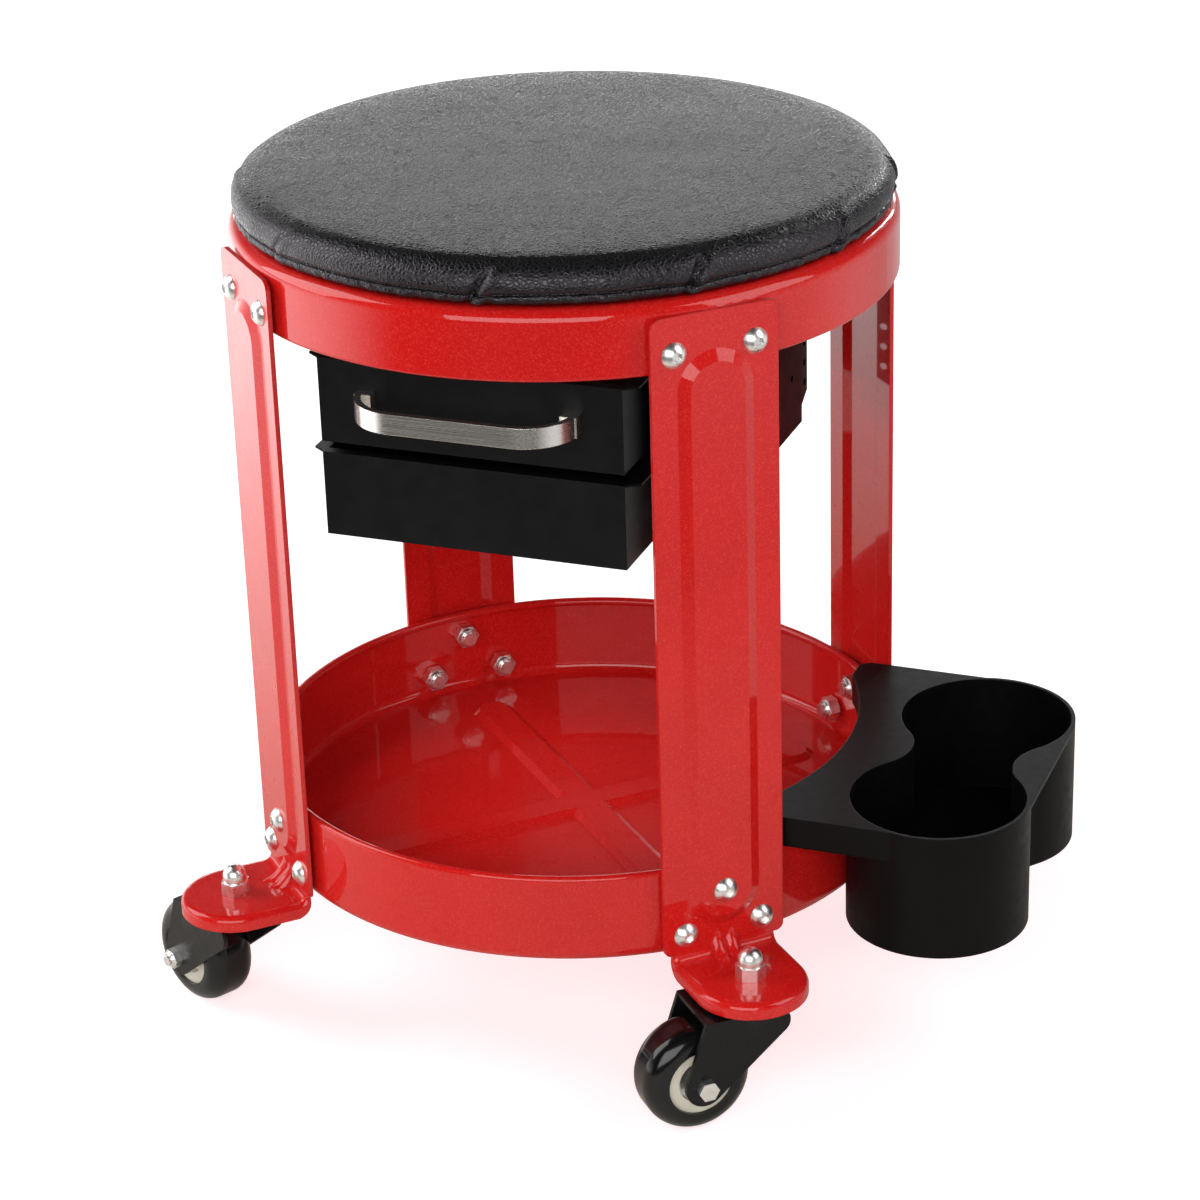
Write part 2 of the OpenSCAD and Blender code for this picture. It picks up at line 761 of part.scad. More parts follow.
// the handle seen from above, x along the drawer front, y outwards
module handle_outline() {
    r = handle_out;
    half = handle_len / 2;
    translate([r - half, 0]) square([2 * (half - r), handle_t]);
    for (k = [0, 1]) mirror([k, 0]) {
        translate([half - r, r]) mirror([0, 1]) bend_quarter(r, handle_t);
        translate([half - handle_post, r - handle_foot]) square([handle_post, handle_foot]);
    }
}

module drawer_handle() {
    color(nickel) placed() translate([0, -drawer_front - handle_out, handle_z - handle_h / 2]) difference() {
        linear_extrude(handle_h) handle_outline();
        for (s = [-1, 1]) translate([s * handle_screw_x, handle_out - 5, handle_h / 2])
            rotate([-90, 0, 0]) cylinder(d = handle_screw_d + 2 * run_play, h = 10);
    }
}

module handle_screws() {
    color(zinc) placed() for (s = [-1, 1])
        translate([s * handle_screw_x, -drawer_front + drawer_t, handle_z]) rotate([90, 0, 0]) {
            cylinder(d = handle_screw_d, h = drawer_t + 4);
            mirror([0, 0, 1]) difference() {
                cylinder(d1 = 2 * handle_screw_d, d2 = 1.4 * handle_screw_d, h = 2.4);
                translate([0, 0, 1.2]) hexagon(2.5, 3);
            }
        }
}

// cup holder

// plate outline, drawn in by d all round
module plate_outline(d) {
    w = plate_half_w - d;
    x0 = plate_inner_x + d;
    corner = 8 - d / 2;
    difference() {
        union() {
            translate([x0 + corner, -w]) square([cup_x - x0 - corner, 2 * w]);
            translate([x0, -w + corner]) square([corner + fuse, 2 * (w - corner)]);
            for (s = [-1, 1]) {
                translate([x0 + corner, s * (w - corner)]) circle(corner);
                translate([cup_x, s * cup_half_pitch]) circle(cup_out_r - d);
            }
            translate([cup_x, -cup_half_pitch]) square([cup_out_r - d, 2 * cup_half_pitch]);
        }
        circle(plate_inner_r + d);
    }
}

// the opening of both cups and the throat between them, drawn out by d
module cup_opening(d) {
    translate([cup_x, 0]) {
        for (s = [-1, 1]) translate([0, s * cup_half_pitch]) circle(cup_r + d);
        difference() {
            polygon([[0, -cup_half_pitch], [nose_x, 0], [0, cup_half_pitch], [-nose_x, 0]]);
            for (s = [-1, 1]) translate([s * nose_x, 0]) circle(nose_r - d);
        }
    }
}

module cup_holder() {
    hook_in_r = pan_r - bead_d - hook_play;
    hook_out_r = pan_r + hook_play;
    hook_half = 84;
    color(satin_black) placed() difference() {
        union() {
            translate([0, 0, plate_z - plate_t]) linear_extrude(plate_t) plate_outline(0);
            translate([0, 0, plate_z - plate_skirt]) linear_extrude(plate_skirt - fuse) difference() {
                plate_outline(0);
                plate_outline(cup_wall);
                translate([cup_x, -2 * plate_half_w]) square(4 * plate_half_w);
            }
            translate([0, 0, cup_floor_z]) linear_extrude(cup_depth - fuse) cup_opening(cup_wall);
            intersection() {
                union() {
                    translate([0, 0, rim_z - hook_depth]) tube_wall(hook_in_r - cup_wall, hook_in_r);
                    translate([0, 0, rim_z - hook_depth]) tube_wall(hook_out_r, hook_out_r + cup_wall);
                    translate([0, 0, rim_z + 0.2])
                        tube_wall(pan_r - bead_d / 2 - 1, pan_r - bead_d / 2 + 1);
                }
                translate([0, -hook_half, 0]) cube([2 * pan_r, 2 * hook_half, plate_z - fuse]);
            }
        }
        translate([0, 0, cup_floor_z + plate_t]) linear_extrude(cup_depth) cup_opening(0);
        // notches where the skirt crosses the rim
        translate([0, 0, plate_z - plate_skirt - over])
            difference() {
                tube(pan_r + 2 * hook_play, hook_in_r - hook_play, rim_z + 1.2 - plate_z + plate_skirt + over);
                translate([0, -hook_half - over, -over]) cube([2 * pan_r, 2 * (hook_half + over), 60]);
            }
    }
}

// wall between two radii from its foot up into the plate
module tube_wall(r_in, r_out) {
    tube(r_out, r_in, plate_z);
}

// casters

module caster_cap_nuts() {
    dome_r = 0.47 * cap_flats;
    hex_h = 0.45 * cap_h;
    color(zinc) each_leg() translate([stem_r_pos, 0, foot_top_z]) difference() {
        union() {
            hexagon(cap_flats, hex_h);
            cylinder(r = dome_r, h = cap_h - dome_r);
            translate([0, 0, cap_h - dome_r]) sphere(dome_r);
        }
        translate([0, 0, -over]) cylinder(d = stem_d + 2 * run_play, h = cap_h - 5 + over);
    }
}

collar_h = 1;
collar_z = foot_under_z - race_h / 2 + seat_gap;
boss_top_z = collar_z - seat_gap;

module caster_race_caps() {
    cap_t = foot_under_z - collar_z - collar_h;
    color(satin_black) each_leg() translate([stem_r_pos, 0, 0]) {
        translate([0, 0, collar_z + collar_h]) tube(race_d / 2, stem_d / 2 + run_play, cap_t);
        translate([0, 0, fork_top_z + 1]) tube(race_d / 2, race_d / 2 - 1.4, collar_z + collar_h - fork_top_z);
    }
}

module caster_stem(i) {
    pivot_low_z = fork_top_z - fork_t - seat_gap;
    color(zinc) at_caster(i) {
        translate([0, 0, collar_z]) cylinder(d = stem_d, h = foot_top_z + cap_h - 6 - collar_z);
        translate([0, 0, collar_z]) cylinder(d = 1.8 * stem_d, h = collar_h);
        translate([0, 0, pivot_low_z - fuse]) cylinder(d = pivot_d, h = collar_z - pivot_low_z + 2 * fuse);
        translate([0, 0, pivot_low_z - 2]) cylinder(d1 = pivot_d, d2 = 1.6 * pivot_d, h = 2);
    }
}

fork_front = trail - 1;
fork_rear = 14;

module fork_side() {
    ear = [trail, axle_z];
    rear_r = 8;
    rear_c = [-fork_rear + rear_r, fork_top_z - rear_r];
    near = 0.99;
    front = tangent_points([fork_front, fork_top_z], 0, ear, near * ear_r, 1);
    rear = tangent_points(rear_c, near * rear_r, ear, near * ear_r, -1);
    translate(ear) circle(ear_r);
    translate(rear_c) circle(rear_r);
    polygon([front[0], front[1], ear, rear[1], rear[0], rear_c, [rear_c[0], fork_top_z]]);
}

module caster_fork(i) {
    color(satin_black) at_caster(i) difference() {
        union() {
            for (y = [-fork_out, fork_in]) translate([0, y, 0]) along_y(fork_t) fork_side();
            translate([-fork_rear + 6, -fork_out, fork_top_z - fork_t])
                cube([fork_front + fork_rear - 6, 2 * fork_out, fork_t]);
            translate([0, 0, fork_top_z - fuse])
                cylinder(d = race_d - 6, h = boss_top_z - fork_top_z + fuse);
        }
        translate([0, 0, fork_top_z - 5]) cylinder(d = pivot_d + 2 * run_play, h = 12);
        translate([trail, -2 * fork_out, axle_z]) rotate([-90, 0, 0])
            cylinder(d = axle_d + hole_play, h = 4 * fork_out);
    }
}

// places a piece drawn along z on the axle, pointing to the side of the bolt head
module on_axle(i) {
    at_caster(i) translate([trail, 0, axle_z]) rotate([-90 * head_side[i], 0, 0]) children();
}

module axle_bolt(i) {
    color(zinc) on_axle(i) {
        translate([0, 0, fork_out]) hexagon(axle_flats, axle_head_h);
        translate([0, 0, -fork_out - axle_nut_h - axle_tail])
            cylinder(d = axle_d, h = 2 * fork_out + axle_nut_h + axle_tail + fuse);
    }
}

module axle_nut(i) {
    color(zinc) on_axle(i) translate([0, 0, -fork_out]) lock_nut(axle_flats, axle_d, axle_nut_h);
}

module axle_sleeve(i) {
    length = 2 * (fork_in - 0.1);
    color(zinc) on_axle(i) translate([0, 0, -length / 2])
        tube(sleeve_d / 2, axle_d / 2 + run_play, length);
}

module wheel_tyre(i) {
    r = wheel_d / 2;
    half = wheel_w / 2;
    bore = hub_d / 2 + run_play;
    color(satin_black) on_axle(i) rotate_extrude() difference() {
        union() {
            translate([bore, -half]) square([r - shoulder - bore, wheel_w]);
            translate([bore, -half + shoulder]) square([r - bore, wheel_w - 2 * shoulder]);
            for (s = [-1, 1]) translate([r - shoulder, s * (half - shoulder)]) circle(shoulder);
        }
        translate([0, -wheel_w]) square([bore, 2 * wheel_w]);
    }
}

module wheel_hub(i) {
    seat_r = bearing_d / 2;
    web = 3;
    half = wheel_w / 2 - 2;
    color([0.9, 0.87, 0.78]) on_axle(i) rotate_extrude() {
        translate([seat_r, -half]) square([hub_d / 2 - seat_r, 2 * half]);
        translate([sleeve_d / 2 + 2, -web]) square([seat_r - sleeve_d / 2 - 2 + fuse, 2 * web]);
    }
}

module wheel_bearings(i) {
    outer = bearing_d / 2 - run_play;
    inner = sleeve_d / 2 + run_play;
    ring = 1.7;
    shield_in = 0.5;
    color(zinc) on_axle(i) for (s = [0, 1]) mirror([0, 0, s]) translate([0, 0, 3 + run_play])
        rotate_extrude() {
            translate([outer - ring, 0]) square([ring, bearing_w]);
            translate([inner, 0]) square([ring, bearing_w]);
            translate([inner + ring - fuse, shield_in])
                square([outer - inner - 2 * ring + 2 * fuse, bearing_w - 2 * shield_in]);
        }
}

seat_cushion();
seat_board();
seat_pan();
seat_screws();
tray_pan();
leg_bolts_upper();
leg_nuts_upper();
leg_bolts_lower();
leg_nuts_lower();
for (k = [0, 1]) {
    drawer_carrier(k);
    runner(k, upper_top_z);
    runner(k, lower_top_z);
}
runner_rivets();
drawer_upper();
drawer_lower();
drawer_handle();
handle_screws();
cup_holder();
caster_cap_nuts();
caster_race_caps();
for (i = [0:3]) {
    leg(i);
    caster_stem(i);
    caster_fork(i);
    axle_bolt(i);
    axle_nut(i);
    axle_sleeve(i);
    wheel_tyre(i);
    wheel_hub(i);
    wheel_bearings(i);
}
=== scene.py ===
"""Looks of the creeper stool: finishes, the sewn cushion, floor, lights and camera."""

import json
import math

import bpy
import numpy as np
from mathutils import Matrix, Vector

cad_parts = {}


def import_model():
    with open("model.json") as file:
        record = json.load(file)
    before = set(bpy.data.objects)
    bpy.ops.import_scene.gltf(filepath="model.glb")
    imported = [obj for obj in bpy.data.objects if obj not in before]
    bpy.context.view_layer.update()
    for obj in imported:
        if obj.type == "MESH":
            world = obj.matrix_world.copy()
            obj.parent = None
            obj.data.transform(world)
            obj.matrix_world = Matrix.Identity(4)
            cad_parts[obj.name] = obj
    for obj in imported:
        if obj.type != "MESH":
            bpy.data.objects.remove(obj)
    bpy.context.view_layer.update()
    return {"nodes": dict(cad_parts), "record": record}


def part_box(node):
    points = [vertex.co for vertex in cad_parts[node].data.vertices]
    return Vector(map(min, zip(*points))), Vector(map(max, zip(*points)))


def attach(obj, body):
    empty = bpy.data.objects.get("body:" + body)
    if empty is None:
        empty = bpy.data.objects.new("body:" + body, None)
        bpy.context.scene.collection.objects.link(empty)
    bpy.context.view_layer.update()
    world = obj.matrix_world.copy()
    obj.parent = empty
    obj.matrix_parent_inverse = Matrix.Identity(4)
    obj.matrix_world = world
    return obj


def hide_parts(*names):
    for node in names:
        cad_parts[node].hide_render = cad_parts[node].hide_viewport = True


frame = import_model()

MM = 0.001
TAU = 2 * math.pi


def centre(node):
    lo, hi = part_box(node)
    return (lo + hi) / 2


# the stool's upright axis, on the floor
AXIS = centre("tray_pan") * Vector((1, 1, 0))

# the part of a noise texture's range that its values mostly fill
NOISE_LOW, NOISE_HIGH = 0.3, 0.7


def rgb(r, g, b):
    return (r, g, b, 1.0)


class Shader:
    """A material's node tree, with short calls for the nodes used here."""

    def __init__(self, name, **inputs):
        self.mat = bpy.data.materials.new(name)
        self.mat.use_nodes = True
        self.tree = self.mat.node_tree
        self.bsdf = self.tree.nodes["Principled BSDF"]
        for key, value in inputs.items():
            self.bsdf.inputs[key.replace("_", " ")].default_value = value
        self.coords = self.node("ShaderNodeTexCoord").outputs["Object"]

    def node(self, kind, **props):
        n = self.tree.nodes.new(kind)
        for key, value in props.items():
            setattr(n, key, value)
        return n

    def link(self, a, b):
        self.tree.links.new(a, b)

    def put(self, socket, value):
        """Link the value if it is a socket, and set it if it is a number or a colour."""
        if hasattr(value, "links"):
            self.link(value, socket)
        else:
            socket.default_value = value

    def noise(self, scale, detail=3.0, rough=0.55, coords=None, distortion=0.0):
        n = self.node("ShaderNodeTexNoise")
        self.link(coords or self.coords, n.inputs["Vector"])
        n.inputs["Scale"].default_value = scale
        n.inputs["Detail"].default_value = detail
        n.inputs["Roughness"].default_value = rough
        n.inputs["Distortion"].default_value = distortion
        return n.outputs["Fac"]

    def voronoi(self, scale, feature="F1", output="Distance", coords=None):
        n = self.node("ShaderNodeTexVoronoi", feature=feature)
        self.link(coords or self.coords, n.inputs["Vector"])
        n.inputs["Scale"].default_value = scale
        return n.outputs[output]

    def stretched(self, scale):
        """Coordinates scaled by an amount for each axis, for brushed or fibrous grain."""
        n = self.node("ShaderNodeMapping")
        self.link(self.coords, n.inputs["Vector"])
        n.inputs["Scale"].default_value = scale
        return n.outputs["Vector"]

    def ramp(self, fac, low, high, a=0.0, b=1.0):
        n = self.node("ShaderNodeMapRange")
        self.link(fac, n.inputs["Value"])
        n.inputs["From Min"].default_value = low
        n.inputs["From Max"].default_value = high
        n.inputs["To Min"].default_value = a
        n.inputs["To Max"].default_value = b
        return n.outputs["Result"]

    def spread(self, fac, a=0.0, b=1.0):
        """A noise value spread over the range from a to b."""
        return self.ramp(fac, NOISE_LOW, NOISE_HIGH, a, b)

    def cloud(self, scale, detail, a=0.0, b=1.0):
        return self.spread(self.noise(scale, detail), a, b)

    def mix(self, fac, a, b):
        n = self.node("ShaderNodeMix", data_type="RGBA")
        factor, first, second = n.inputs[0], n.inputs[6], n.inputs[7]
        self.put(factor, fac)
        self.put(first, a)
        self.put(second, b)
        return n.outputs[2]

    def math(self, op, a, b=0.0):
        n = self.node("ShaderNodeMath", operation=op)
        self.put(n.inputs[0], a)
        self.put(n.inputs[1], b)
        return n.outputs[0]

    def colour(self, value):
        self.put(self.bsdf.inputs["Base Color"], value)

    def roughness(self, value):
        self.put(self.bsdf.inputs["Roughness"], value)

    def bump(self, height, strength, distance, normal=None):
        n = self.node("ShaderNodeBump")
        n.inputs["Strength"].default_value = strength
        n.inputs["Distance"].default_value = distance
        self.link(height, n.inputs["Height"])
        if normal is not None:
            self.link(normal, n.inputs["Normal"])
        self.link(n.outputs["Normal"], self.bsdf.inputs["Normal"])

    def rounded_edges(self, radius):
        n = self.node("ShaderNodeBevel", samples=4)
        n.inputs["Radius"].default_value = radius
        return n.outputs["Normal"]


def red_coat():
    """Matt red with fine flakes and a cloudy shade, under a clear coat with a faint peel."""
    s = Shader(
        "red powder coat",
        Coat_Weight=0.75, Coat_Roughness=0.035, Coat_IOR=1.5, Specular_IOR_Level=0.05,
    )
    flake = s.ramp(s.voronoi(scale=1500, output="Color"), 0.55, 1.0)
    tone = s.cloud(scale=14, detail=4)
    base = s.mix(tone, rgb(0.64, 0.0095, 0.0088), rgb(0.58, 0.0082, 0.0076))
    s.colour(s.mix(s.math("MULTIPLY", flake, 0.3), base, rgb(0.95, 0.10, 0.07)))
    s.roughness(s.cloud(scale=60, detail=3, a=0.26, b=0.34))
    peel = s.noise(scale=300, detail=2, rough=0.4)
    s.bump(peel, strength=0.10, distance=0.12 * MM, normal=s.rounded_edges(1.4 * MM))
    return s.mat


def black_coat():
    s = Shader("satin black coat", Specular_IOR_Level=0.2)
    tone = s.cloud(scale=30, detail=4)
    s.colour(s.mix(tone, rgb(0.0030, 0.0028, 0.0032), rgb(0.0050, 0.0047, 0.0052)))
    s.roughness(s.cloud(scale=90, detail=3, a=0.36, b=0.46))
    grain = s.noise(scale=700, detail=2, rough=0.5)
    s.bump(grain, strength=0.16, distance=0.1 * MM, normal=s.rounded_edges(0.6 * MM))
    return s.mat


def caster_black():
    """Black finish of the forks, worn a little lighter in patches."""
    s = Shader("caster black", Specular_IOR_Level=0.28)
    worn = s.ramp(s.noise(scale=55, detail=5, rough=0.65), 0.56, 0.74)
    s.colour(s.mix(worn, rgb(0.0035, 0.0035, 0.004), rgb(0.014, 0.0135, 0.0135)))
    s.roughness(s.cloud(scale=120, detail=4, a=0.24, b=0.42))
    grain = s.noise(scale=500, detail=3, rough=0.5)
    s.bump(grain, strength=0.2, distance=0.12 * MM, normal=s.rounded_edges(0.8 * MM))
    return s.mat


def moulding():
    s = Shader("black moulding", Specular_IOR_Level=0.12)
    tone = s.cloud(scale=20, detail=4)
    s.colour(s.mix(tone, rgb(0.0020, 0.0018, 0.0019), rgb(0.0034, 0.0031, 0.0033)))
    s.roughness(s.cloud(scale=160, detail=4, a=0.40, b=0.52))
    grain = s.noise(scale=1400, detail=2, rough=0.6)
    s.bump(grain, strength=0.2, distance=0.1 * MM, normal=s.rounded_edges(0.9 * MM))
    return s.mat


def zinc():
    s = Shader("zinc plate", Metallic=1.0)
    tone = s.cloud(scale=260, detail=4)
    s.colour(s.mix(tone, rgb(0.80, 0.79, 0.77), rgb(0.93, 0.92, 0.90)))
    s.roughness(s.cloud(scale=420, detail=3, a=0.26, b=0.38))
    grain = s.noise(scale=1800, detail=2, rough=0.5)
    s.bump(grain, strength=0.12, distance=0.08 * MM, normal=s.rounded_edges(0.5 * MM))
    return s.mat


def nickel():
    """Satin nickel, brushed along the handle."""
    s = Shader("satin nickel", Metallic=1.0)
    along = s.stretched((14, 2400, 2400))
    grain = s.noise(scale=1.0, detail=3, rough=0.6, coords=along)
    s.colour(s.mix(s.spread(grain), rgb(0.76, 0.72, 0.67), rgb(0.90, 0.87, 0.83)))
    s.roughness(s.spread(grain, a=0.20, b=0.32))
    s.bump(grain, strength=0.08, distance=0.06 * MM, normal=s.rounded_edges(0.5 * MM))
    return s.mat


def wood():
    s = Shader("plywood")
    along = s.stretched((12, 160, 160))
    grain = s.noise(scale=1.0, detail=5, rough=0.6, coords=along, distortion=0.6)
    s.colour(s.mix(s.spread(grain), rgb(0.42, 0.27, 0.15), rgb(0.60, 0.43, 0.26)))
    s.roughness(s.spread(grain, a=0.55, b=0.7))
    s.bump(grain, strength=0.2, distance=0.2 * MM)
    return s.mat


def tread():
    s = Shader("gloss black tread", Coat_Weight=0.4, Coat_Roughness=0.05, Specular_IOR_Level=0.2)
    tone = s.cloud(scale=40, detail=4)
    s.colour(s.mix(tone, rgb(0.003, 0.003, 0.0033), rgb(0.006, 0.006, 0.0065)))
    s.roughness(s.cloud(scale=150, detail=4, a=0.14, b=0.24))
    s.bump(s.noise(scale=900, detail=2), strength=0.08, distance=0.1 * MM)
    return s.mat


def hub():
    s = Shader("cream nylon")
    tone = s.cloud(scale=60, detail=4)
    s.colour(s.mix(tone, rgb(0.70, 0.65, 0.54), rgb(0.78, 0.74, 0.64)))
    s.roughness(s.cloud(scale=200, detail=3, a=0.34, b=0.46))
    grain = s.noise(scale=900, detail=2)
    s.bump(grain, strength=0.1, distance=0.1 * MM, normal=s.rounded_edges(0.5 * MM))
    return s.mat


def vinyl():
    """Pebbles of about 2 mm between fine creases, over soft undulations of the foam, with painted
    shade in the creases.
    """
    s = Shader("black grained vinyl", Specular_IOR_Level=0.5, Specular_Tint=rgb(0.99, 0.92, 1.0))
    drift = s.node("ShaderNodeTexNoise")
    s.link(s.coords, drift.inputs["Vector"])
    drift.inputs["Scale"].default_value = 170
    warp = s.node("ShaderNodeVectorMath", operation="MULTIPLY_ADD")
    s.link(drift.outputs["Color"], warp.inputs[0])
    warp.inputs[1].default_value = (2.2 * MM, 2.2 * MM, 2.2 * MM)
    s.link(s.coords, warp.inputs[2])
    cells = s.voronoi(scale=430, feature="DISTANCE_TO_EDGE", coords=warp.outputs[0])
    pebble = s.ramp(cells, 0.0, 0.22)
    fine = s.noise(scale=900, detail=2, rough=0.5)
    soft = s.noise(scale=34, detail=4, rough=0.6)
    height = s.math("ADD", s.math("MULTIPLY", pebble, 0.7), s.math("MULTIPLY", fine, 0.35))
    height = s.math("ADD", height, s.math("MULTIPLY", soft, 2.6))
    # the colour is darker in the creases between the pebbles and lighter on their tops: painted
    # shade of the grain
    s.colour(s.mix(pebble, rgb(0.0018, 0.0017, 0.0020), rgb(0.0052, 0.0048, 0.0054)))
    s.roughness(s.ramp(pebble, 0.0, 1.0, a=0.5, b=0.27))
    s.bump(height, strength=0.9, distance=0.26 * MM)
    return s.mat


def thread():
    s = Shader("black thread", Roughness=0.6)
    twist = s.noise(scale=3200, detail=2)
    s.colour(s.mix(s.spread(twist), rgb(0.012, 0.012, 0.013), rgb(0.05, 0.048, 0.05)))
    s.bump(twist, strength=0.3, distance=0.1 * MM)
    return s.mat


# material slots of the record, and what makes the material of each
MATERIALS = {
    "red_coat": red_coat, "black_coat": black_coat, "caster_black": caster_black,
    "black_moulding": moulding, "zinc": zinc, "nickel": nickel, "plywood": wood,
    "tyre_black": tread, "hub_cream": hub, "vinyl": vinyl,
}


def dress_nodes():
    """Give every CAD node the material of its slot, and return the materials by slot."""
    made = {name: build() for name, build in MATERIALS.items()}
    for part in frame["record"]["subparts"]:
        obj = frame["nodes"][part["node"]]
        obj.data.materials.clear()
        obj.data.materials.append(made[part["material_slot"]])
    return made


def new_object(name, verts, faces, material, body):
    mesh = bpy.data.meshes.new(name)
    mesh.from_pydata([tuple(v) for v in verts], [], faces)
    mesh.update()
    mesh.shade_smooth()
    mesh.materials.append(material)
    obj = bpy.data.objects.new(name, mesh)
    bpy.context.scene.collection.objects.link(obj)
    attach(obj, body)
    return obj


# the cover's section from the middle of the crown to its tucked edge:
# radius, and drop below the crown, in mm
COVER_SECTION = (
    (0, 0), (60, 0.02), (100, 0.1), (130, 0.3), (148, 0.6), (158, 1.0), (163.5, 1.7),
    (168.0, 3.1), (171.6, 5.4), (174.0, 8.6), (175.2, 12.0), (175.2, 14.6), (174.2, 16.2),
    (172.5, 17.0), (173.9, 17.7), (174.4, 19.3), (173.4, 21.6), (170.4, 23.0), (166.0, 23.4),
    (161.5, 23.5),
)
SECTION_RADIUS = 176.0  # radius of the cushion that the section is written for
SEAM_DROP = 17.0
LOWEST = 0.15  # least height of the cover above the cushion's underside
SECTION_STEPS = 110
SECTION_FINE = 12  # points between two knots, before they are spread
# share of the section's points spent up to each share of its length: most go to the shoulder
# and the seam
LENGTH_SHARES = (0, 0.62, 0.78, 1)
POINT_SHARES = (0, 0.34, 0.5, 1.0)
AROUND = 720

# pleats of the cover: azimuth in degrees, depth in mm, width in degrees
PLEATS = (
    (-82.0, 3.6, 2.4), (-46.5, 4.6, 2.1), (-15.5, 4.0, 2.1), (18.0, 2.6, 2.4), (50.0, 3.0, 2.2),
    (84.0, 1.6, 2.4), (120.0, 1.8, 2.0), (157.0, 1.5, 2.2), (-164.0, 1.7, 2.0), (-124.0, 1.2, 2.6),
)
PLEAT_LEAN = 0.09  # how far a crease runs sideways, in its widths for each mm down
LEAN_FROM = 9  # the drop at which a crease stands at its azimuth
PLEAT_STARTS, PLEAT_FULL = 2.2, 8.0  # drops between which a pleat grows to its depth
SEAM_PULL = 0.7  # how far the cover at the seam is drawn down at a pleat, in mm
SEAM_REACH = 4.5  # how far above and below the seam that shows, in mm
SEAM_SPREAD = 1.6  # how far to the sides of a pleat that shows, in its widths
STILL_RADIUS = 150  # nothing is pulled in within this radius
# a pleat's profile, in its widths: the crease, and the roll of cover beside it
CREASE_WIDTH = 0.22
ROLL_HEIGHT, ROLL_AT, ROLL_WIDTH = 0.6, 0.7, 0.5

RANDOM_SEED = 7
# waves round the side: how many, their counts in a turn, their depth in mm, and the drops
# between which they grow
SIDE_WAVES, SIDE_COUNTS, SIDE_DEPTHS, SIDE_DROPS = 9, (9, 46), (0.03, 0.10), (1.5, 8.0)
# gathers of the band below the seam, in the same terms but from the seam down
BAND_WAVES, BAND_COUNTS, BAND_DEPTH, BAND_DROPS = 7, (60, 170), 0.16, (0.5, 2.5)
# soft undulations of the top: how many, the spread of their radians for each mm, and their height
TOP_WAVES, TOP_RADIANS, TOP_HEIGHT = 8, 0.035, 0.05

STITCH_PITCH = 3.2
STITCH_FROM, STITCH_TO = 0.14, 0.86  # the share of the pitch that a stitch covers
STITCH_RISE = 0.9  # height of the stitches above the seam
STITCH_SUNK = 2.0  # how far within the cushion's radius they lie
STITCH_LEAN = 7  # the stitches' drop below the height where a crease stands at its azimuth
THREAD_RADIUS, THREAD_BULGE = 0.22, 0.12
THREAD_CORE = 0.25  # the share of a stitch's thickness that doesn't taper
STITCH_ENDS = (0.08, 0.92)  # a stitch gets no thinner outside these shares of its length


def smooth_step(x, lo, hi):
    t = np.clip((x - lo) / (hi - lo), 0, 1)
    return t * t * (3 - 2 * t)


def cushion_size():
    """The cushion's middle, its lowest point, and its radius and height in mm."""
    lo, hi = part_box("seat_cushion")
    return (lo + hi) / 2, lo.z, (hi.x - lo.x) / 2 / MM, (hi.z - lo.z) / MM


def cover_section(radius, height):
    """Radius and height in mm along a smooth curve through the section's knots."""
    knots = [(r * radius / SECTION_RADIUS, max(height - drop, LOWEST)) for r, drop in COVER_SECTION]
    pts = np.array(knots, float)
    out = []
    n = len(pts)
    for i in range(n - 1):
        p0, p1, p2, p3 = pts[max(i - 1, 0)], pts[i], pts[i + 1], pts[min(i + 2, n - 1)]
        for t in np.linspace(0, 1, SECTION_FINE, endpoint=False):
            out.append(0.5 * (2 * p1 + (p2 - p0) * t + (2 * p0 - 5 * p1 + 4 * p2 - p3) * t * t
                              + (3 * p1 - p0 - 3 * p2 + p3) * t ** 3))
    out.append(pts[-1])
    out = np.array(out)
    length = np.concatenate([[0], np.cumsum(np.linalg.norm(np.diff(out, axis=0), axis=1))])
    weights = np.interp(length, [length[-1] * share for share in LENGTH_SHARES], POINT_SHARES)
    want = np.interp(np.linspace(0, 1, SECTION_STEPS), weights, length)
    return np.stack([np.interp(want, length, out[:, k]) for k in (0, 1)], 1)


def pleat_fold(d, width):
    """Share of a pleat's depth at d degrees from its crease, with the raised roll beside it."""
    crease = np.exp(-(d / (CREASE_WIDTH * width)) ** 2)
    roll = np.exp(-((d - ROLL_AT * width) / (ROLL_WIDTH * width)) ** 2)
    return crease - ROLL_HEIGHT * roll


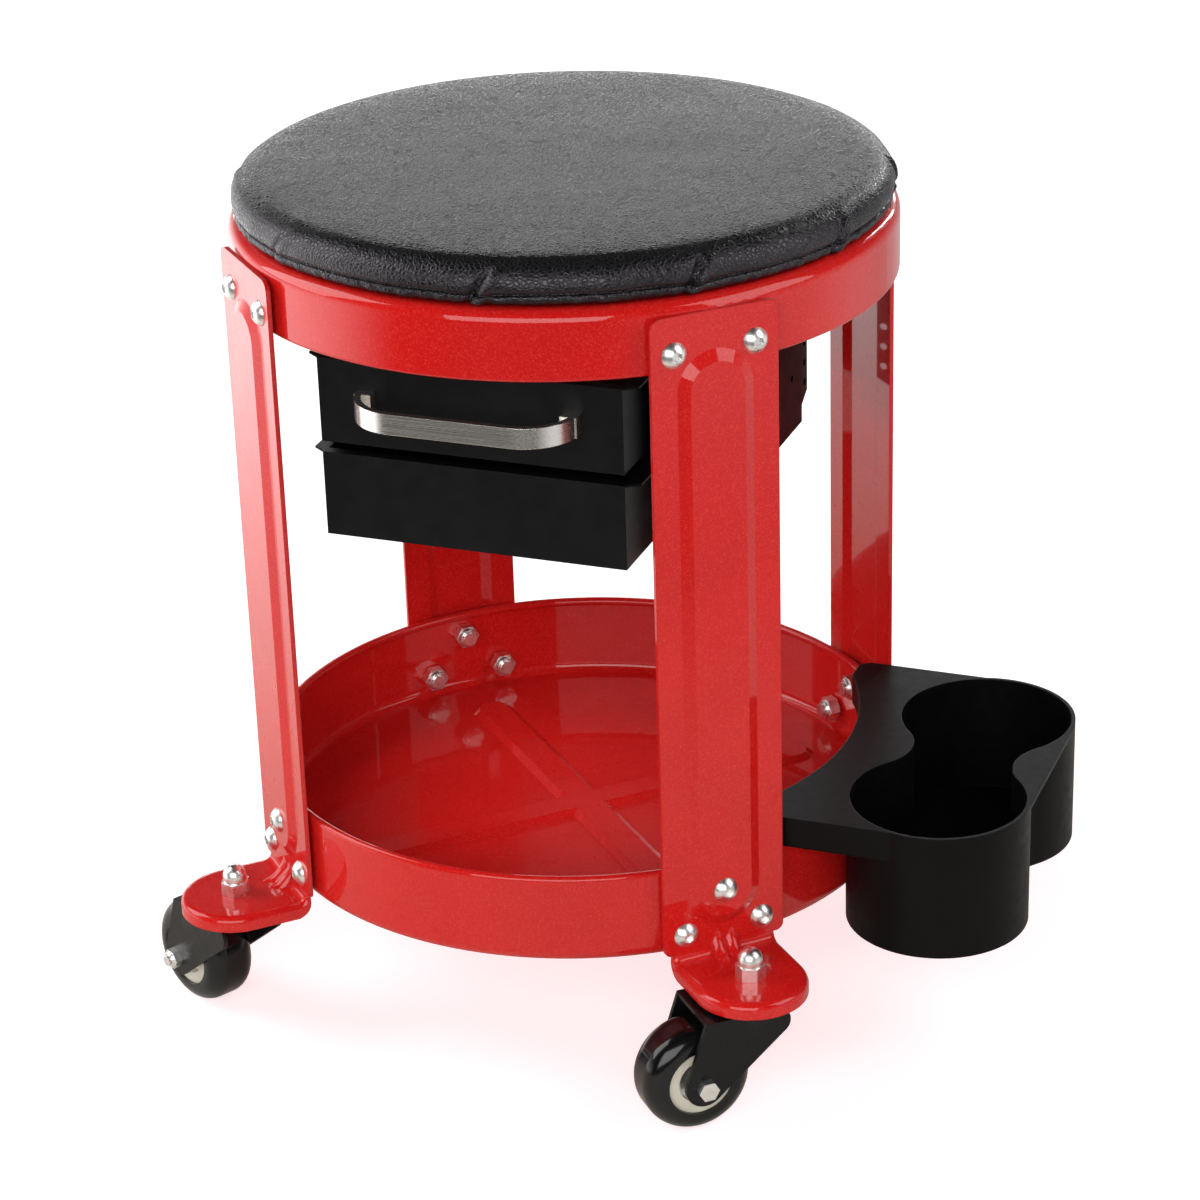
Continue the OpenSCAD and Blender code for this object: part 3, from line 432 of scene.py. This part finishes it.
def cover_folds(a, r, drop):
    """How far in mm the cover is pulled in and lifted, at angles a, radii r and drops in mm."""
    rng = np.random.default_rng(RANDOM_SEED)
    side = smooth_step(drop, *SIDE_DROPS)
    near_seam = np.exp(-((SEAM_DROP - drop) / SEAM_REACH) ** 2)
    reach = smooth_step(drop, PLEAT_STARTS, PLEAT_FULL)
    pull = np.zeros_like(r)
    lift = np.zeros_like(r)
    for azimuth, depth, width in PLEATS:
        d = np.degrees(np.angle(np.exp(1j * (a - math.radians(azimuth)))))
        crease = d + PLEAT_LEAN * width * (drop - LEAN_FROM)
        pull += depth * pleat_fold(crease, width) * reach
        lift -= SEAM_PULL * np.exp(-(d / (SEAM_SPREAD * width)) ** 2) * near_seam
    for _ in range(SIDE_WAVES):
        count = rng.integers(*SIDE_COUNTS)
        phase = rng.uniform(0, TAU)
        depth = rng.uniform(*SIDE_DEPTHS)
        pull += depth * np.sin(count * a + phase) * side
    below = smooth_step(drop - SEAM_DROP, *BAND_DROPS)
    for _ in range(BAND_WAVES):
        count = rng.integers(*BAND_COUNTS)
        phase = rng.uniform(0, TAU)
        pull += BAND_DEPTH * np.sin(count * a + phase) * below
    x, y = r * np.cos(a), r * np.sin(a)
    for _ in range(TOP_WAVES):
        kx, ky = rng.normal(0, TOP_RADIANS, 2)
        phase = rng.uniform(0, TAU)
        lift += TOP_HEIGHT * np.sin(kx * x + ky * y + phase) * (1 - side)
    return pull * np.where(r > STILL_RADIUS, 1, 0), lift


def cushion(material):
    """The sewn cover: crowned top, soft shoulder, low seam, and the band tucked under."""
    mid, low, radius, height = cushion_size()
    section = cover_section(radius, height)
    angle = np.linspace(0, TAU, AROUND, endpoint=False)
    a, r = np.meshgrid(angle, section[:, 0])
    _, z = np.meshgrid(angle, section[:, 1])
    pull, lift = cover_folds(a, r, height - z)
    rr = (r - pull) * MM
    zz = np.minimum(z + lift, height) * MM
    verts = [(mid.x, mid.y, low + height * MM)]
    for i in range(1, len(section)):
        x, y = mid.x + rr[i] * np.cos(angle), mid.y + rr[i] * np.sin(angle)
        verts += list(zip(x, y, low + zz[i]))
    rows = len(section) - 1
    following = [(j + 1) % AROUND for j in range(AROUND)]
    faces = [(0, 1 + j, 1 + following[j]) for j in range(AROUND)]
    for i in range(rows - 1):
        b0, b1 = 1 + i * AROUND, 1 + (i + 1) * AROUND
        faces += [
            (b0 + j, b1 + j, b1 + following[j], b0 + following[j]) for j in range(AROUND)
        ]
    last = 1 + (rows - 1) * AROUND
    verts.append((mid.x, mid.y, low + LOWEST * MM))
    faces += [(len(verts) - 1, last + following[j], last + j) for j in range(AROUND)]
    cover = new_object("cushion_cover", verts, faces, material, "frame")
    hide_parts("seat_cushion")


def stitch(p, q, out, sides=6, rings=7):
    """Vertices and faces of one stitch from p to q, arched outwards and thinner at both ends."""
    axis = (q - p).normalized()
    up = out.normalized()
    across = axis.cross(up).normalized()
    verts, faces = [], []
    for i in range(rings):
        t = i / (rings - 1)
        c = p.lerp(q, t) + up * THREAD_BULGE * MM * math.sin(math.pi * t)
        swell = math.sin(math.pi * min(max(t, STITCH_ENDS[0]), STITCH_ENDS[1])) ** 0.5
        k = THREAD_RADIUS * MM * (THREAD_CORE + (1 - THREAD_CORE) * swell)
        for j in range(sides):
            a = TAU * j / sides
            verts.append(c + (up * math.cos(a) + across * math.sin(a)) * k)
    for i in range(rings - 1):
        for j in range(sides):
            a, b = i * sides + j, i * sides + (j + 1) % sides
            faces.append((a, b, b + sides, a + sides))
    faces.append(tuple(reversed(range(sides))))
    faces.append(tuple(range((rings - 1) * sides, rings * sides)))
    return verts, faces


def stitches(material):
    """The row of stitches just above the seam of the cushion."""
    mid, low, radius, height = cushion_size()
    level = low + (height - SEAM_DROP + STITCH_RISE) * MM
    verts, faces = [], []
    count = int(TAU * radius / STITCH_PITCH)
    for k in range(count):
        ends = []
        for share in (STITCH_FROM, STITCH_TO):
            a = TAU * (k + share) / count
            dent = 0.0
            for azimuth, depth, width in PLEATS:
                d = math.degrees(math.remainder(a - math.radians(azimuth), TAU))
                dent += depth * pleat_fold(d + PLEAT_LEAN * width * STITCH_LEAN, width)
            r = (radius - STITCH_SUNK - dent) * MM
            ends.append(Vector((mid.x + r * math.cos(a), mid.y + r * math.sin(a), level)))
        out = (ends[0] + ends[1]) / 2 - Vector((mid.x, mid.y, level))
        v, f = stitch(*ends, out)
        base = len(verts)
        verts += v
        faces += [tuple(base + i for i in face) for face in f]
    new_object("cushion_stitches", verts, faces, material, "frame")


# how bright the studio is at the stool's right, left, back and front, where white is 1
GLOW_RIGHT, GLOW_LEFT, GLOW_BACK, GLOW_FRONT = 0.8, 2.6, 0.5, 0.02
# parts of a unit direction between which the glow of each side grows
RIGHT_FROM, RIGHT_FULL = 0.45, 0.95
LEFT_FULL, LEFT_FROM = -0.95, -0.55
BACK_FROM, BACK_FULL = 0.1, 0.9
# between these upward parts the glow of the world fades to GLOW_HIGH of itself
GLOW_FADES, GLOW_FADED, GLOW_HIGH = 0.0, 0.32, 0.1

FLOOR_HALF = 9.0
WHITE = rgb(1.0, 1.0, 1.0)
PAINTED_BOUNCE = rgb(1.0, 0.82, 0.84)
PAPER_LOW, PAPER_HIGH = rgb(0.60, 0.60, 0.60), rgb(0.62, 0.62, 0.62)
FLOOR_NEAR, FLOOR_FAR = rgb(0.86, 0.82, 0.74), rgb(0.03, 0.03, 0.03)
PAPER_GLOW = 0.8  # the floor's own light for the camera, which keeps the shadow light
# reaches from the world's origin, in metres, between which the floor changes
PAINTED_BOUNCE_REACH = (0.2, 0.44)  # painted rosy bounce light on the floor under the stool, for the camera, where the red throws back light
BRIGHT_REACH = (0.45, 0.95)  # bright to dark, for all rays but the camera's
GLOW_REACH = (0.3, 1.3)  # from nothing to the studio's glow


def add_range(tree, socket, low, high, a, b):
    n = tree.nodes.new("ShaderNodeMapRange")
    n.interpolation_type = "SMOOTHSTEP"
    tree.links.new(socket, n.inputs["Value"])
    for key, value in (("From Min", low), ("From Max", high), ("To Min", a), ("To Max", b)):
        n.inputs[key].default_value = value
    return n.outputs[0]


def combine(tree, op, a, b):
    n = tree.nodes.new("ShaderNodeMath")
    n.operation = op
    tree.links.new(a, n.inputs[0])
    tree.links.new(b, n.inputs[1])
    return n.outputs[0]


def studio_glow(tree, direction):
    """Brightness of the studio in a direction: dark in front, bright at the sides, dim behind."""
    split = tree.nodes.new("ShaderNodeSeparateXYZ")
    tree.links.new(direction, split.inputs[0])
    right = add_range(tree, split.outputs["X"], RIGHT_FROM, RIGHT_FULL, 0.0, GLOW_RIGHT)
    left = add_range(tree, split.outputs["X"], LEFT_FULL, LEFT_FROM, GLOW_LEFT, 0.0)
    back = add_range(tree, split.outputs["Y"], BACK_FROM, BACK_FULL, GLOW_FRONT, GLOW_BACK)
    return split, combine(tree, "ADD", combine(tree, "ADD", right, left), back)


def floor_material():
    """White paper for the camera, with a painted rosy bounce light near the stool, and bright near
    the stool and glowing far off for other rays.
    """
    s = Shader("floor", Roughness=0.6, Specular_IOR_Level=0.2)
    seen = s.node("ShaderNodeLightPath").outputs["Is Camera Ray"]
    paper = s.mix(s.cloud(scale=3, detail=3), PAPER_LOW, PAPER_HIGH)
    unit = s.node("ShaderNodeVectorMath", operation="NORMALIZE")
    s.link(s.coords, unit.inputs[0])
    length = s.node("ShaderNodeVectorMath", operation="LENGTH")
    s.link(s.coords, length.inputs[0])
    reach = length.outputs["Value"]
    away = add_range(s.tree, reach, *BRIGHT_REACH, 0.0, 1.0)
    s.colour(s.mix(seen, s.mix(away, FLOOR_NEAR, FLOOR_FAR), paper))
    _, around = studio_glow(s.tree, unit.outputs["Vector"])
    far = add_range(s.tree, reach, *GLOW_REACH, 0.0, 1.0)
    glow = s.node("ShaderNodeEmission")
    strength = s.node("ShaderNodeMix")
    s.link(seen, strength.inputs[0])
    s.link(s.math("MULTIPLY", around, far), strength.inputs[2])
    strength.inputs[3].default_value = PAPER_GLOW
    # painted bounce light: for the camera the paper turns rosy near the stool
    near = add_range(s.tree, reach, *PAINTED_BOUNCE_REACH, 1.0, 0.0)
    s.link(s.mix(s.math("MULTIPLY", near, seen), WHITE, PAINTED_BOUNCE), glow.inputs["Color"])
    s.link(strength.outputs[0], glow.inputs["Strength"])
    add = s.node("ShaderNodeAddShader")
    s.link(s.bsdf.outputs[0], add.inputs[0])
    s.link(glow.outputs[0], add.inputs[1])
    s.link(add.outputs[0], s.tree.nodes["Material Output"].inputs["Surface"])
    return s.mat


def backdrop():
    mesh = bpy.data.meshes.new("floor")
    signs = ((-1, -1), (1, -1), (1, 1), (-1, 1))
    corners = [(x * FLOOR_HALF, y * FLOOR_HALF, 0) for x, y in signs]
    mesh.from_pydata(corners, [], [(0, 1, 2, 3)])
    mesh.materials.append(floor_material())
    floor = bpy.data.objects.new("floor", mesh)
    bpy.context.scene.collection.objects.link(floor)


def world():
    """White behind the object for the camera, and the studio's glow for all other rays."""
    w = bpy.data.worlds.new("studio")
    bpy.context.scene.world = w
    w.use_nodes = True
    t = w.node_tree
    t.nodes.clear()
    out = t.nodes.new("ShaderNodeOutputWorld")
    bg = t.nodes.new("ShaderNodeBackground")
    coord = t.nodes.new("ShaderNodeTexCoord")
    split, around = studio_glow(t, coord.outputs["Generated"])
    low = add_range(t, split.outputs["Z"], GLOW_FADES, GLOW_FADED, 1.0, GLOW_HIGH)
    path = t.nodes.new("ShaderNodeLightPath")
    mix = t.nodes.new("ShaderNodeMix")
    t.links.new(path.outputs["Is Camera Ray"], mix.inputs[0])
    t.links.new(combine(t, "MULTIPLY", around, low), mix.inputs[2])
    mix.inputs[3].default_value = 1.0
    t.links.new(mix.outputs[0], bg.inputs["Strength"])
    t.links.new(bg.outputs[0], out.inputs[0])


# name, azimuth and elevation in degrees, distance, width and height in metres, power in watts;
# azimuth 0 is the stool's front -Y, and 90 is +X
SOFTBOXES = (
    ("key", 8, 22, 2.6, 2.4, 1.5, 46),
    ("left", -80, 34, 2.2, 1.4, 1.6, 28),
    ("right", 92, 36, 2.2, 1.4, 1.5, 19),
    ("window", 200, 11, 2.8, 2.6, 0.36, 16),
    ("strip", 168, 24, 2.4, 0.16, 0.9, 7),
)
LIT_HEIGHT = 0.25  # the height on the stool's axis that the softboxes face


def softbox(name, azimuth, elevation, distance, width, height, power):
    light = bpy.data.lights.new(name, "AREA")
    light.shape = "RECTANGLE"
    light.size = width
    light.size_y = height
    light.energy = power
    obj = bpy.data.objects.new(name, light)
    bpy.context.scene.collection.objects.link(obj)
    a, e = math.radians(azimuth), math.radians(elevation)
    away = Vector((math.sin(a) * math.cos(e), -math.cos(a) * math.cos(e), math.sin(e)))
    obj.location = AXIS + Vector((0, 0, LIT_HEIGHT)) + away * distance
    obj.rotation_euler = (-away).to_track_quat("-Z", "Y").to_euler()


# solved from the photograph, in metres from the foot of the stool's axis
CAMERA_AT = Vector((0.6574, -1.6579, 1.0218))
CAMERA_AIM = Vector((0.0117, 0.0045, 0.209))
CAMERA_ROLL = math.radians(-1.81)
CAMERA_LENS = 105.4
CAMERA_SENSOR = 36


def camera():
    data = bpy.data.cameras.new("camera")
    data.lens = CAMERA_LENS
    data.sensor_width = CAMERA_SENSOR
    obj = bpy.data.objects.new("camera", data)
    bpy.context.scene.collection.objects.link(obj)
    back = (CAMERA_AT - CAMERA_AIM).normalized()
    right = Vector((0, 0, 1)).cross(back).normalized()
    up = back.cross(right)
    c, s = math.cos(CAMERA_ROLL), math.sin(CAMERA_ROLL)
    rot = Matrix((right * c + up * s, up * c - right * s, back)).transposed()
    obj.matrix_world = Matrix.Translation(CAMERA_AT + AXIS) @ rot.to_4x4()
    bpy.context.scene.camera = obj


materials = dress_nodes()
cushion(materials["vinyl"])
stitches(thread())
backdrop()
world()
for box in SOFTBOXES:
    softbox(*box)
camera()
bpy.context.scene.view_settings.view_transform = "Standard"
